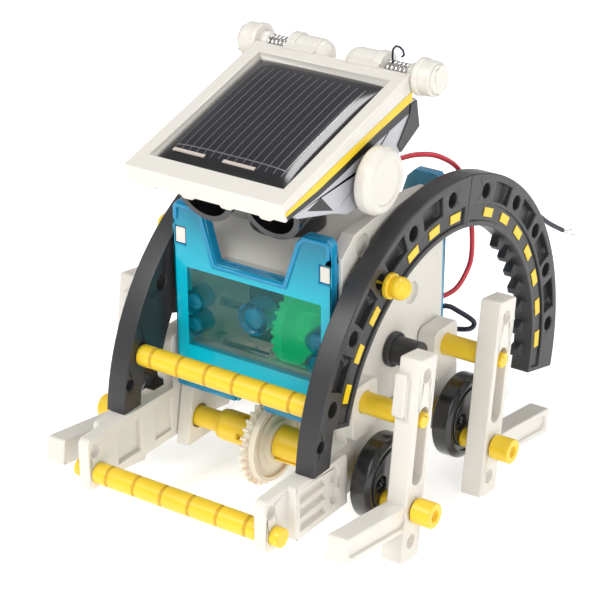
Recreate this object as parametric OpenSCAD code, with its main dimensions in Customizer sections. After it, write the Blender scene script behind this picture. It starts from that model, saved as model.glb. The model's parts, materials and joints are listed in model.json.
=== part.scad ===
/* [Chassis] */
// Half width between the outer faces of the two side frames
frame_half = 22.0; // [20:0.5:24]
// Thickness of a side frame
frame_t = 3.4; // [2:0.2:4]
// Front face of the front cover
cover_front_y = -36.0; // [-38:0.5:-35]
// Rear face of the rear cover
cover_rear_y = 11.0; // [10:0.5:13]
// Underside of both covers
cover_low_z = 25.5; // [24:0.5:28]
// Top of the cover towers
tower_top_z = 70.8; // [68:0.2:72]
// Floor of the notch between the towers
notch_z = 58.2; // [52:0.2:62]

/* [Walking gear] */
// Height of both wheel shafts
shaft_z = 15.5; // [15:0.5:17]
// Place of the front shaft
front_y = -31.5; // [-33:0.5:-30]
// Place of the rear shaft
rear_y = 2.5; // [1:0.5:4]
// Height of the fixed guide pins above the shafts
guide_rise = 17.0; // [16:0.5:18]
// Crank radius
crank_r = 4.8; // [4:0.1:5]
// Crank angle at rest, from straight down towards the front
crank_rest = 40; // [20:1:50]
// Wheel radius
wheel_r = 10; // [9:0.5:10.5]
// Leg bar height
leg_h = 47.5; // [44:0.5:50]
// Leg bar width
leg_w = 7.4; // [7:0.1:8]
// Leg thickness
leg_t = 5.1; // [4:0.1:6]
// Length of the toe beyond the bar
toe_len = 23.4; // [18:0.2:26]

/* [Wheel arches] */
// Outer radius of an arch
arch_ro = 53.6; // [52:0.2:54]
// Inner radius of an arch
arch_ri = 41.3; // [41:0.1:43]
// Height of the arch centre
arch_z = 19.25; // [18:0.25:20]
// Inner side of the arches
arch_in = 23.2; // [23:0.1:24]
// Outer side of the arches
arch_out = 28.2; // [27:0.1:28.6]

/* [Head] */
// Tilt of the solar panel at rest
head_tilt = 15.5; // [10:0.5:20]
// Height of the ear pivot
pivot_z = 80.6; // [80:0.2:83]
// Width of the head frame
head_w = 41.0; // [38:0.5:42]
// Width of the solar panel
panel_w = 34.0; // [30:0.5:35]
// Length of the solar panel
panel_l = 41.2; // [36:0.5:42]

/* [Hidden] */
$fn = 48;

// Colours of the real materials
ivory = [0.93, 0.91, 0.86];
charcoal = [0.20, 0.20, 0.20];
yellow = [0.93, 0.78, 0.18];
aqua = [0.10, 0.62, 0.74, 0.6];
steel = [0.70, 0.70, 0.72];
silver = [0.72, 0.71, 0.73];

// The whole toy is moved so that its feet stand on Z = 0 around the origin
nub_end_right = 47.0;
nub_end_left = -44.8;
rail_front_y = -67.3;

guide_z = shaft_z + guide_rise;
rail_in = frame_half + 0.3;
tubes = [[-17.5, 46, 2.9], [-17.5, 40.2, 2.7], [15.7, 45, 2.7], [15.7, 39.6, 2.6]];
arch_pin = [-24.8, 58.4];
rail_low = 11.2;
rail_high = 23.9;
ear_out = 25.2;
rail_out = 27.5;
wheel_in = 28.7;
wheel_out = 33.9;
leg_in_right = 36.6;
leg_in_left = 34.4;
foot_drop = 12.2;
plate_front_y = cover_front_y + 2.7;
plate_rear_y = cover_rear_y - 2.7;
pin_r = 1.75;
slot_half = 2.1;
crank_pin_r = 1.75;
shaft_end = wheel_in + 3.4;
nub_len = 4.8;
nub_r = 2.9;
lower_rod = [-64.2, 14.8];
upper_rod = [-46.1, 36.2];
rod_r = 2.5;
crank_off = [-crank_r * sin(crank_rest), -crank_r * cos(crank_rest)];
leg_lean = atan2(-crank_off[0], guide_rise - crank_off[1]);
foot_low = shaft_z + crank_off[1] - foot_drop * cos(leg_lean) - leg_w / 2 * sin(leg_lean);
shift = [-(nub_end_right + nub_end_left) / 2, -(rail_front_y + arch_ro) / 2, -foot_low];

// Gear train: module, tooth counts and centres
gear_m = 0.65;
drive_teeth = 32;
idler_teeth = 22;
pinion_teeth = 12;
crown_teeth = 24;
motor_teeth = 8;
mesh_gap = 0.08;
shaft_c = [front_y, shaft_z];
crown_c = [-24.5, 42.5];
d_low = gear_m * (drive_teeth + idler_teeth) / 2 + mesh_gap;
d_high = gear_m * (idler_teeth + pinion_teeth) / 2 + mesh_gap;
span = norm(crown_c - shaft_c);
along = (d_low * d_low - d_high * d_high + span * span) / (2 * span);
off_line = sqrt(d_low * d_low - along * along);
dir_line = (crown_c - shaft_c) / span;
idler_c = shaft_c + along * dir_line + off_line * [dir_line[1], -dir_line[0]];
crown_face = 4.0;
crown_h = 0.9;
motor_x = crown_face - 0.15 - gear_m * (motor_teeth / 2 + 0.8);
transfer_m = 0.8;
transfer_teeth = 20;
transfer_x = 14.5;
transfer_t = 2.4;
transfer_idler_teeth = 22;
transfer_idler_c = [(front_y + rear_y) / 2, shaft_z];

// Head frame: pivot and panel centre
pivot_y = -21.7;
panel_y = -27.57;
panel_z = 91.1;
head_front = -26.0;
head_back = 24.5;

// Routes of the two leads
red_route = [[2.8, -18, 72.6], [8, -11, 74], [15, 0, 76.3], [18, 4, 76.7], [20, 9, 75], [20.9, 16, 70],
  [21.2, 20, 63], [21.5, 22, 54], [21.7, 22, 46], [21.4, 20, 42], [20.5, 17, 39], [18.5, 13.5, 37.8],
  [16, 11.2, 37.5]];
black_route = [[16, 8, 34.5], [16, 11.2, 34.5], [20.4, 13, 36.2], [23, 15, 34.5], [25.2, 17, 32.2],
  [25.5, 17.5, 30.8], [24.8, 16, 30.1], [21, 13.5, 30.3], [16, 11.2, 30.5], [16, 8, 30.5]];
loose_route = [[14, 11.2, 58], [16, 18, 60], [18, 30, 60.5], [20, 42, 54], [21.5, 52, 46.5], [22.5, 58, 41.5],
  [23.5, 64, 37.5]];
lead_r = 0.6;

// ---- helpers ----
module place() { translate(shift) children(); }

// A Y-Z outline drawn solid between two X planes
module along_x(x0, x1) {
  translate([x0, 0, 0]) rotate([90, 0, 90]) linear_extrude(x1 - x0) children();
}

// A round bar along X
module bar_x(x0, x1, r, yz) { translate([x0, yz[0], yz[1]]) rotate([0, 90, 0]) cylinder(h = x1 - x0, r = r); }

// A Y-Z box outline with rounded corners
module soft_box(y0, z0, y1, z1, r) {
  hull() for (y = [y0 + r, y1 - r], z = [z0 + r, z1 - r]) translate([y, z]) circle(r, $fn = 32);
}

module mirror_left() { mirror([1, 0, 0]) children(); }

// Spur gear outline with straight-sided teeth, one tooth centred on the first axis
function gear_points(n, m) = [for (i = [0 : n - 1], k = [0 : 3])
  let (a = 360 / n * (i + [-0.28, -0.11, 0.11, 0.28][k]), r = m * (n / 2 + [-1, 0.8, 0.8, -1][k]))
  [r * cos(a), r * sin(a)]];
module gear_2d(n, m, turn) { rotate(turn) polygon(gear_points(n, m)); }
function aim(from, to) = atan2(to[1] - from[1], to[0] - from[0]);

// Ribbed yellow rod: grooves at a regular pitch
module ribbed_rod(x0, x1, yz, pitch) {
  translate([0, yz[0], yz[1]]) rotate([0, 90, 0]) translate([0, 0, x0]) difference() {
    cylinder(h = x1 - x0, r = rod_r);
    for (s = [pitch / 2 : pitch : x1 - x0 - pitch / 4]) translate([0, 0, s]) rotate_extrude()
      translate([rod_r, 0]) rotate(45) square(0.55, center = true);
  }
}

// ---- chassis ----
module side_outline() {
  difference() {
    polygon([[plate_front_y, 26], [plate_front_y, 66], [plate_front_y + 5, 70], [plate_front_y + 12, 71],
      [plate_rear_y - 12, 71], [plate_rear_y - 5, 70], [plate_rear_y, 66], [plate_rear_y, 26],
      [rear_y + 6, 9.5], [rear_y - 5, 9.5], [rear_y - 7, 24], [front_y + 8, 24], [front_y + 5, 9.5],
      [front_y - 5, 9.5]]);
    for (y = [front_y, rear_y]) translate([y, shaft_z]) circle(2.9);
  }
}
module side_frame() {
  difference() {
    union() {
      along_x(frame_half - frame_t, frame_half) side_outline();
      for (c = [crown_c, idler_c]) bar_x(frame_half - frame_t - 2, frame_half - frame_t + 0.5, 2.6, c);
    }
    translate([frame_half - frame_t - 0.1, plate_front_y - 0.1, 32.5]) cube([2.2, 4.7, 18]);
    for (c = [crown_c, idler_c]) bar_x(frame_half - frame_t - 3, frame_half - 1.2, 1.03, c);
    bar_x(frame_half - 1, frame_half + 1, 2.6, [-4.8, 47]);
    bar_x(frame_half - 1, frame_half + 1, 2.6, [-25.2, 66.4]);
    bar_x(frame_half - frame_t - 1, frame_half + 1, 2.05, arch_pin);
  }
}
module side_frame_left() { place() color(ivory) mirror_left() side_frame(); }
module side_frame_right() { place() color(ivory) side_frame(); }

module top_deck() {
  inner = frame_half - frame_t - 0.05;
  place() color(ivory) difference() {
    along_x(-inner, inner) polygon([[-31.6, 56.2], [-31.6, 58.4], [-25, 65], [5.5, 65], [5.5, 62], [-23.8, 62]]);
    translate([0, pivot_y, 60]) cylinder(h = 8, r = 4.05);
  }
}

module motor_mount() {
  inner = frame_half - frame_t - 0.05;
  place() color(ivory) difference() {
    union() {
      translate([-inner, -12, 26.2]) cube([2 * inner, 1.8, 35.6]);
      translate([motor_x, -10.4, crown_c[1]]) rotate([-90, 0, 0]) cylinder(h = 9, r = 9.2);
    }
    translate([motor_x, -10.2, crown_c[1]]) rotate([-90, 0, 0]) cylinder(h = 12, r = 7.75);
    translate([motor_x, -14, crown_c[1]]) rotate([-90, 0, 0]) cylinder(h = 6, r = 3.05);
  }
}

// Outline of a cover seen from the front: two towers and a notch between them
module cover_front_2d() {
  w = frame_half - 1;
  difference() {
    polygon([[-w, cover_low_z], [-w, tower_top_z - 1], [-w + 1, tower_top_z], [-w + 6.5, tower_top_z],
      [-w + 8.5, tower_top_z - 2], [-w + 11.5, notch_z], [w - 12.5, notch_z], [w - 9, tower_top_z - 2],
      [w - 7, tower_top_z], [w - 1, tower_top_z], [w, tower_top_z - 1], [w, cover_low_z]]);
    for (s = [-1, 1]) translate([s * (w - 1.7) - 1.55, 60.5]) square([3.1, 4.3]);
  }
}
module cover_shell() {
  w = frame_half - 1;
  difference() {
    translate([0, cover_front_y, 0]) rotate([90, 0, 0]) mirror([0, 0, 1]) linear_extrude(2.6)
      cover_front_2d();
    translate([-w + 1.5, cover_front_y + 1.5, cover_low_z + 1.5]) cube([2 * w - 3, 3, 31]);
    translate([-3.9, cover_front_y - 1, cover_low_z - 1]) cube([6.4, 5, 3.2]);
  }
}
module front_cover() {
  place() color(aqua) {
    cover_shell();
    translate([-1, cover_front_y + 1.2, 46.2]) rotate([-90, 0, 0]) difference() {
      cylinder(h = 5.5, r = 3.9);
      translate([0, 0, 0.6]) cylinder(h = 6, r = 2.4);
    }
    for (t = tubes) translate([t[0], cover_front_y + 1.2, t[1]]) rotate([-90, 0, 0]) difference() {
      cylinder(h = 5.3, r = t[2]);
      translate([0, 0, 0.6]) cylinder(h = 6, r = t[2] - 0.8);
    }
  }
}
module rear_cover() {
  place() color(aqua) translate([0, cover_front_y + cover_rear_y, 0]) mirror([0, 1, 0]) difference() {
    cover_shell();
    for (p = [red_route[12], black_route[0], black_route[9], loose_route[0]])
      translate([p[0], cover_front_y - 1, p[2]]) rotate([-90, 0, 0]) cylinder(h = 4, r = 1.15);
  }
}
module latch_tabs() {
  w = frame_half - 1;
  place() color(ivory) for (s = [-1, 1], y = [cover_front_y + 0.2, plate_rear_y])
    translate([s * (w - 1.7) - 1.3, y, 60.8]) cube([2.6, 2.5, 3.7]);
}
// Inner plate behind the front cover, open on the left and across the gear window
module front_plate() {
  place() color(ivory) translate([0, plate_front_y + 0.1, 0]) rotate([90, 0, 0]) mirror([0, 0, 1])
    linear_extrude(1.4) difference() {
      polygon([[-18.6, 27], [-18.6, 66], [-14, 66], [-10.5, 57.2], [9.5, 57.2], [13, 66], [18.6, 66], [18.6, 27]]);
      translate([-20, 36]) square([38.5, 19.6]);
    }
}
module output_socket() {
  place() color(charcoal) difference() {
    union() {
      bar_x(frame_half + 0.1, frame_half + 1.4, 4.1, [-13.2, 36.6]);
      bar_x(frame_half + 1.2, frame_half + 7.6, 3.3, [-13.2, 36.6]);
    }
    bar_x(frame_half + 2, frame_half + 9, 1.6, [-13.2, 36.6]);
  }
}

// ---- motor and gears ----
module motor_can() {
  place() color(steel) translate([motor_x, 0, crown_c[1]]) rotate([-90, 0, 0]) {
    translate([0, 0, -10.1]) cylinder(h = 17, r = 7.6);
    translate([0, 0, -11.8]) cylinder(h = 1.9, r = 2.9);
    translate([0, 0, 6.8]) cylinder(h = 1.2, r = 2.6);
  }
}
module motor_pinion() {
  place() color(ivory) translate([motor_x, 0, crown_c[1]]) rotate([90, 0, 0]) {
    translate([0, 0, 14.6]) linear_extrude(3.6) gear_2d(motor_teeth, gear_m, 0);
    translate([0, 0, 12]) cylinder(h = 2.8, r = 1.2);
  }
}
module crown_gear() {
  pitch = 360 / crown_teeth;
  r_mid = gear_m * crown_teeth / 2;
  place() color("limegreen") translate([0, crown_c[0], crown_c[1]]) difference() {
    union() {
      bar_x(crown_face, crown_face + 2, r_mid + 1.2, [0, 0]);
      bar_x(crown_face, crown_face + 5.5, 3.2, [0, 0]);
      along_x(0.1, crown_face) gear_2d(pinion_teeth, gear_m, aim(crown_c, idler_c));
      for (i = [0 : crown_teeth - 1]) rotate([(i + 0.5) * pitch, 0, 0])
        translate([crown_face - crown_h, r_mid - 1, -0.36]) cube([crown_h + 0.2, 2.1, 0.72]);
    }
    bar_x(-1, crown_face + 8, 1.03, [0, 0]);
  }
}
module idler_gear() {
  place() color(ivory) translate([0, idler_c[0], idler_c[1]]) difference() {
    union() {
      along_x(0.2, 1.45) gear_2d(idler_teeth, gear_m, aim(idler_c, crown_c) + 180 / idler_teeth);
      bar_x(-3, 0.3, 2.4, [0, 0]);
    }
    bar_x(-4, 4, 1.03, [0, 0]);
  }
}
module gear_axles() {
  reach = frame_half - 1.6;
  place() color(steel) for (c = [crown_c, idler_c]) bar_x(-reach, reach, 1.0, c);
}
// Drive gear: toothed rim on the left, stepped flange on the right
idler_turned = aim(idler_c, crown_c) + 180 / idler_teeth;
drive_turn = aim(shaft_c, idler_c)
  + (aim(idler_c, shaft_c) - idler_turned) * idler_teeth / drive_teeth
  + 180 / drive_teeth;
module drive_gear() {
  place() color([0.90, 0.88, 0.80]) translate([0, shaft_c[0], shaft_c[1]]) difference() {
    union() {
      along_x(0.1, 1.7) gear_2d(drive_teeth, gear_m, drive_turn);
      difference() {
        bar_x(1.6, 3.4, 9.55, [0, 0]);
        bar_x(2.7, 4, 8.6, [0, 0]);
      }
      bar_x(1.6, 3.2, 7.0, [0, 0]);
      bar_x(1.6, 4.4, 5.2, [0, 0]);
    }
    bar_x(-1, 6, 2.5, [0, 0]);
  }
}
module castle(x0, x1, r, c) {
  difference() {
    bar_x(x0, x1, r, c);
    for (i = [0 : 3]) translate([x1 - 2.4, c[0], c[1]]) rotate([45 * i * 2, 0, 0])
      translate([0, -0.9, 1.6]) cube([3, 1.8, r]);
  }
}
module front_shaft_left() {
  place() color(yellow) {
    bar_x(-shaft_end, 0.1, rod_r, shaft_c);
    bar_x(-11.9, -10.8, 3.5, shaft_c);
    castle(-10.9, -3.4, 3.7, shaft_c);
  }
}
module front_shaft_right() {
  place() color(yellow) {
    bar_x(0.1, shaft_end, rod_r - 0.02, shaft_c);
    difference() {
      bar_x(4.5, transfer_x - 0.4, 4.2, shaft_c);
      translate([4, front_y - 5.4, shaft_z - 2.6]) cube([11, 2.6, 1.2]);
    }
  }
}
module rear_shaft() {
  place() color(yellow) bar_x(-shaft_end, shaft_end, rod_r - 0.02, [rear_y, shaft_z]);
}
module transfer_gear(c, turn) {
  translate([0, c[0], c[1]]) difference() {
    along_x(transfer_x, transfer_x + transfer_t) gear_2d(transfer_teeth, transfer_m, turn);
    bar_x(transfer_x - 1, transfer_x + 4, rod_r + 0.02, [0, 0]);
  }
}
module transfer_gear_front() { place() color(ivory) transfer_gear(shaft_c, 0); }
module transfer_gear_rear() { place() color(ivory) transfer_gear([rear_y, shaft_z], 180); }
module transfer_idler() {
  c = transfer_idler_c;
  place() color(ivory) {
    translate([0, c[0], c[1]]) along_x(transfer_x, transfer_x + transfer_t)
      gear_2d(transfer_idler_teeth, transfer_m, 180 / transfer_idler_teeth);
    bar_x(transfer_x - 0.8, rail_in + 2, 1.5, c);
  }
}

// ---- walking gear ----
module wheel(x0, x1, y) {
  place() color(charcoal) translate([0, y, shaft_z]) difference() {
    rotate([0, 90, 0]) rotate_extrude() polygon([[0, x0], [wheel_r - 1.2, x0], [wheel_r, x0 + 0.8],
      [wheel_r, x1 - 0.8], [wheel_r - 1.2, x1], [0, x1]]);
    bar_x(x0 - 1, shaft_end + 0.1, rod_r, [0, 0]);
    rotate([0, 90, 0]) rotate_extrude() translate([7.2, x1 - 0.5]) square([0.8, 1]);
    bar_x(x1 - 1.6, x1 + 1, 2.0, [-4.3, 0.6]);
    bar_x(x1 - 1.6, x1 + 1, crank_pin_r, crank_off);
  }
}
module wheel_front_left() { mirror_left() mirror_place() wheel(wheel_in, wheel_out, front_y); }
module wheel_rear_left() { mirror_left() mirror_place() wheel(wheel_in, wheel_out, rear_y); }
module wheel_front_right() { wheel(wheel_in, wheel_out, front_y); }
module wheel_rear_right() { wheel(wheel_in, wheel_out, rear_y); }
// Mirroring happens about the body's own middle plane
module mirror_place() { translate([-2 * shift[0], 0, 0]) children(); }

module crank(y, leg_in, nub_x) {
  c = [y + crank_off[0], shaft_z + crank_off[1]];
  place() color(yellow) {
    bar_x(wheel_out - 1.5, leg_in - 0.3, crank_pin_r, c);
    bar_x(wheel_out + 0.02, leg_in - 0.3, 2.3, c);
    bar_x(leg_in - 0.4, nub_x - nub_len + 0.2, crank_pin_r, c);
    difference() {
      bar_x(nub_x - nub_len, nub_x, nub_r, c);
      bar_x(nub_x - 1.5, nub_x + 1, 1.3, c);
    }
  }
}
module crank_front_left() { mirror_left() mirror_place() crank(front_y, leg_in_left, -nub_end_left); }
module crank_rear_left() { mirror_left() mirror_place() crank(rear_y, leg_in_left, -nub_end_left); }
module crank_front_right() { crank(front_y, leg_in_right, nub_end_right); }
module crank_rear_right() { crank(rear_y, leg_in_right, nub_end_right); }

// One leg, drawn with its crank hole at the origin and its bar upright; dir is the toe's side
module leg_solid(x0, dir) {
  low = -foot_drop;
  half = leg_w / 2;
  difference() {
    along_x(x0, x0 + leg_t) {
      soft_box(-half, low, half, low + leg_h, 0.7);
      scale([dir, 1]) soft_box(-half - toe_len, low + 7.7, 0, low + 13.9, 0.7);
    }
    bar_x(x0 - 1, x0 + leg_t + 1, crank_pin_r + 0.07, [0, 0]);
    translate([0, 0, 5.8]) along_x(x0 - 1, x0 + leg_t + 1) {
      translate([0, slot_half]) circle(slot_half);
      translate([0, 18 - slot_half]) circle(slot_half);
      translate([-slot_half, slot_half]) square([2 * slot_half, 18 - 2 * slot_half]);
    }
    for (v = [low + 4.6, low + leg_h - 4.2]) bar_x(x0 + leg_t - 2, x0 + leg_t + 1, 1.6, [0, v]);
    along_x(x0 + leg_t - 0.7, x0 + leg_t + 1) scale([dir, 1])
      soft_box(-half - toe_len + 1.4, low + 9.1, -half + 0.5, low + 12.5, 1.6);
  }
  along_x(x0, x0 + 3) scale([dir, 1]) soft_box(-half - 1.6, low + leg_h - 13.5, -half + 1, low + leg_h - 3.5, 0.8);
}
module leg(x0, y, dir) {
  place() color(ivory) translate([0, y + crank_off[0], shaft_z + crank_off[1]]) rotate([-leg_lean, 0, 0])
    leg_solid(x0, dir);
}
module leg_front_left() { mirror_left() mirror_place() leg(leg_in_left, front_y, 1); }
module leg_rear_left() { mirror_left() mirror_place() leg(leg_in_left, rear_y, -1); }
module leg_front_right() { leg(leg_in_right, front_y, 1); }
module leg_rear_right() { leg(leg_in_right, rear_y, -1); }

module guide_pin(y, leg_in) {
  c = [y, guide_z];
  bar_x(rail_in + 2.1, leg_in - 0.4, rod_r, c);
  bar_x(leg_in - 0.5, leg_in + leg_t + 0.5, pin_r, c);
}
module guide_pins() {
  place() color(yellow) for (y = [front_y, rear_y]) {
    guide_pin(y, leg_in_right);
    mirror_left() guide_pin(y, leg_in_left);
  }
}

// ---- rails and rods ----
module rail_2d() {
  difference() {
    union() {
      soft_box(rail_front_y, rail_low, -38, rail_high, 1.5);
      translate([-60, rail_low]) square([rear_y + 8 + 60, rail_high - rail_low]);
      for (y = [front_y, rear_y]) soft_box(y - 5, rail_low, y + 5, guide_z + 4.6, 2);
    }
    for (y = [front_y, rear_y]) translate([y, shaft_z]) circle(rod_r + 0.06);
    translate(transfer_idler_c) circle(1.56);
    translate(lower_rod) circle(rod_r - 0.7);
    translate([-64.9, 20.6]) circle(1.6);
  }
}
module rail() {
  difference() {
    union() {
      along_x(rail_in, ear_out) rail_2d();
      difference() {
        along_x(ear_out - 0.1, rail_out) soft_box(-59.3, rail_low, -39.5, rail_high, 1);
        for (z = [13, 16.4, 19.8]) translate([rail_out - 1.2, -57.5, z]) cube([3, 9.5, 2]);
        for (z = [15.3, 20.6]) bar_x(rail_out - 1.2, rail_out + 1, 1.7, [-44.4, z]);
      }
      along_x(ear_out - 0.1, rail_out - 0.6) for (y = [front_y, rear_y])
        soft_box(y - 5, rail_high + 0.5, y + 5, guide_z + 4.6, 2);
    }
    for (y = [front_y, rear_y]) bar_x(rail_in + 2.0, rail_out + 1, rod_r + 0.02, [y, guide_z]);
    translate([rail_in - 1, -57, 13.4]) cube([2.2, 8, 8.2]);
    translate([rail_in - 1, -43.5, 13.4]) cube([1.8, 6, 8.2]);
    bar_x(rail_in - 1, ear_out + 1, rod_r + 0.06, [front_y, shaft_z]);
  }
}
module rail_left() { place() color(ivory) mirror_left() rail(); }
module rail_right() { place() color(ivory) rail(); }

module lower_front_rod() {
  place() color(yellow) {
    ribbed_rod(-rail_in + 0.1, rail_in - 0.1, lower_rod, 7.5);
    for (s = [0, 1]) mirror([s, 0, 0]) {
      bar_x(rail_in - 0.2, ear_out + 1, rod_r - 0.75, lower_rod);
      bar_x(ear_out + 0.1, ear_out + 2.4, rod_r - 0.3, lower_rod);
    }
  }
}
module upper_front_rod() {
  place() color(yellow) {
    ribbed_rod(-arch_in + 0.1, arch_in - 0.1, upper_rod, 7.5);
    bar_x(-arch_in - 2, arch_in + 2, 1.5, upper_rod);
  }
}

// ---- arches ----
// Ring sector outline about the arch centre, between two angles
module sector(r0, r1, a0, a1) {
  n = 8;
  intersection() {
    difference() { circle(r1, $fn = 160); circle(r0, $fn = 160); }
    polygon(concat([[0, 0]], [for (i = [0 : n]) let (a = a0 + (a1 - a0) * i / n)
      (r1 * 1.2) * [cos(a), sin(a)]]));
  }
}
hole_angles = [70.2, 51, 34, 17.7, -0.5];
tooth_step = 8.5;
arch_joint = 79;
arch_start = 164;
arch_end = -14.2;
stripe_step = 11.5;
// One quarter of an arch; the front quarter is the rear one turned over
module quarter(a0, a1, holes, tooth_from, tooth_count) {
  difference() {
    union() {
      along_x(arch_in, arch_out) sector(arch_ri, arch_ro, a0, a1);
      along_x(arch_in, arch_in + 2.4) for (i = [0 : tooth_count - 1]) rotate(tooth_from + i * tooth_step)
        translate([arch_ri + 0.3, 0]) polygon([[0, -1.9], [-2.6, -1.0], [-2.6, 1.0], [0, 1.9]]);
    }
    for (a = holes) bar_x(arch_in - 1, arch_out + 1, 1.75, 49.5 * [cos(a), sin(a)]);
    for (i = [0 : len(holes) - 2]) let (a = (holes[i] + holes[i + 1]) / 2)
      along_x(arch_out - 1.6, arch_out + 1) sector(47.3, 51.8, a - 4.6, a + 4.6);
    along_x(arch_out - 0.5, arch_out + 1) sector(42.6, 46.4, a0 + 1.5, a1 - 1.5);
  }
}
module arch_front() {
  translate([0, 0, arch_z]) difference() {
    union() {
      quarter(arch_joint + 0.2, arch_start, [for (a = hole_angles) 158 - a], 102, 6);
      along_x(arch_in, arch_out) intersection() {
        sector(47.4, arch_ro, arch_start - 1, 176);
        translate([-70, rail_high + 0.1 - arch_z]) square([60, 40]);
      }
    }
    bar_x(arch_in - 1, arch_in + 2.1, 1.55, [upper_rod[0], upper_rod[1] - arch_z]);
    bar_x(arch_in - 1, arch_out + 1, 1.35, [-50.6, 30.4 - arch_z]);
    bar_x(arch_in - 1, arch_out + 1, 1.7, arch_pin - [0, arch_z]);
  }
}
module arch_rear() { translate([0, 0, arch_z]) quarter(arch_end, arch_joint, hole_angles, -7, 7); }
module arch_front_left() { place() color(charcoal) mirror_left() arch_front(); }
module arch_front_right() { place() color(charcoal) arch_front(); }
module arch_rear_left() { place() color(charcoal) mirror_left() arch_rear(); }
module arch_rear_right() { place() color(charcoal) arch_rear(); }
module arch_stripes() {
  place() color("gold") for (s = [0, 1]) mirror([s, 0, 0]) translate([0, 0, arch_z])
    for (first = [-3.5, 85.3], i = [0 : 6]) let (a = first + i * stripe_step) if (abs(a - 121) > 5)
      along_x(arch_out - 0.48, arch_out - 0.3) sector(43.5, 45.6, a - 2.7, a + 2.7);
}
module arch_pins() {
  place() color(yellow) for (s = [0, 1]) mirror([s, 0, 0]) {
    bar_x(frame_half - 3, arch_out + 0.2, 1.69, arch_pin);
    bar_x(arch_out + 0.1, arch_out + 1.4, 2.9, arch_pin);
    translate([arch_out + 3, arch_pin[0], arch_pin[1]]) sphere(2.6);
  }
}

// ---- head, in its own frame: panel centre at the origin, panel face level ----
module head_place() { place() translate([0, panel_y, panel_z]) rotate([head_tilt, 0, 0]) children(); }
pivot_local = [
  (pivot_y - panel_y) * cos(head_tilt) + (pivot_z - panel_z) * sin(head_tilt),
  -(pivot_y - panel_y) * sin(head_tilt) + (pivot_z - panel_z) * cos(head_tilt)];
eye_x = 8.7;
eye_front = -16.5;
eye_n = -10.2;
module head_frame() {
  half = head_w / 2;
  color(ivory) head_place() difference() {
    union() {
      translate([-half, head_front, -3.4]) cube([head_w, head_back - head_front, 4.4]);
      for (s = [0, 1]) mirror([s, 0, 0]) {
        translate([4.6, head_back - 1, term_n - 3]) cube([8, 1 + term_gap, 6]);
        bar_x(4.6, 12.6, 3.6, [term_d, term_n]);
        bar_x(10.4, 12.6, 4.0, [term_d, term_n]);
        translate([5.4, term_d, term_n]) sphere(3.6);
      }
    }
    for (s = [0, 1]) mirror([s, 0, 0]) bar_x(8, 14, 1.05, [term_d, term_n]);
    translate([-panel_w / 2 - 0.3, -panel_l / 2 - 0.3, -1.2]) cube([panel_w + 0.6, panel_l + 0.6, 3]);
    translate([-14, -17, -4]) cube([28, 34, 4]);
  }
}
module shell_2d() {
  polygon([[head_front + 3, -3.5], [head_front + 4, -5.3], [-10, -12.4], [-6, -15.5], [0, -17], [8, -16.8],
    [16, -14.2], [24.4, -12.5], [25, -5.5], [23.2, -4.8], [23.1, -3.5]]);
}
module head_shell() {
  half = head_w / 2;
  color(silver) head_place() difference() {
    along_x(-half, half) shell_2d();
    along_x(-half + 1.6, half - 1.6) polygon([[head_front + 5.2, -2], [20.1, -2], [20.1, -5.6], [23.2, -6.6],
      [22.8, -11.2], [15.6, -12.7], [7.6, -15.2], [0.3, -15.4], [-5, -14], [-9.2, -11.2], [head_front + 6, -5]]);
    for (s = [-1, 1]) translate([s * eye_x, -30, eye_n]) rotate([-90, 0, 0]) cylinder(h = 23, r = 7.7);
    translate([-9, -6, -20]) cube([18, 22, 9]);
    bar_x(-half - 1, half + 1, 3.1, pivot_local);
  }
}
module side_trim() {
  half = head_w / 2;
  color("gold") head_place() for (s = [0, 1]) mirror([s, 0, 0]) along_x(half + 0.01, half + 0.13)
    polygon([[head_front + 0.2, -1.2], [-5, -1.8], [9, -2.4], [head_back - 0.6, -3.1], [head_back - 1.2, -5.2],
      [9, -4.2], [-5, -3.8], [-14, -3.4], [head_front + 0.4, -2.1]]);
}
module solar_panel() {
  color([0.08, 0.08, 0.10]) head_place() translate([-panel_w / 2, -panel_l / 2, -1.2])
    cube([panel_w, panel_l, 1.7]);
}
module eye(s) {
  color([0.08, 0.08, 0.08]) head_place() translate([s * eye_x, eye_front, eye_n]) rotate([-90, 0, 0])
    difference() {
      cylinder(h = 9, r = 7.4);
      translate([0, 0, -1]) cylinder(h = 6, r = 6.0);
    }
}
module eye_left() { eye(-1); }
module eye_right() { eye(1); }
module ear() {
  head_place() translate([0, pivot_local[0], pivot_local[1]]) {
    rotate([0, 90, 0]) rotate_extrude() polygon([[0, 21.8], [7.0, 21.8], [7.5, 22.3], [7.5, 24.5],
      [6.7, 25.6], [5.3, 25.9], [5.1, 25.5], [0, 25.5]]);
    bar_x(16.2, 22, 3.0, [0, 0]);
    bar_x(11, 16.3, 1.44, [0, 0]);
  }
}
module ear_left() { color(ivory) mirror_left() mirror_place() ear(); }
module ear_right() { color(ivory) ear(); }
module neck_post() {
  place() color(ivory) difference() {
    union() {
      translate([0, pivot_y, 62.5]) cylinder(h = 16.5, r = 4.0);
      bar_x(-15.8, 15.8, 3.6, [pivot_y, pivot_z]);
      hull() {
        translate([-5, pivot_y - 3, 74]) cube([10, 6, 2]);
        translate([-8.8, pivot_y - 2.4, pivot_z - 2]) cube([17.6, 4.8, 2]);
      }
    }
    bar_x(-17, -10, 1.5, [pivot_y, pivot_z]);
    bar_x(10, 17, 1.5, [pivot_y, pivot_z]);
  }
}
module neck_base() {
  place() color(charcoal) translate([0, pivot_y, 65.05]) difference() {
    cylinder(h = 3.6, r = 8.5);
    translate([0, 0, -1]) cylinder(h = 6, r = 4.05);
  }
}
term_gap = 3.0;
term_d = head_back + term_gap;
term_n = -1.3;
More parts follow.
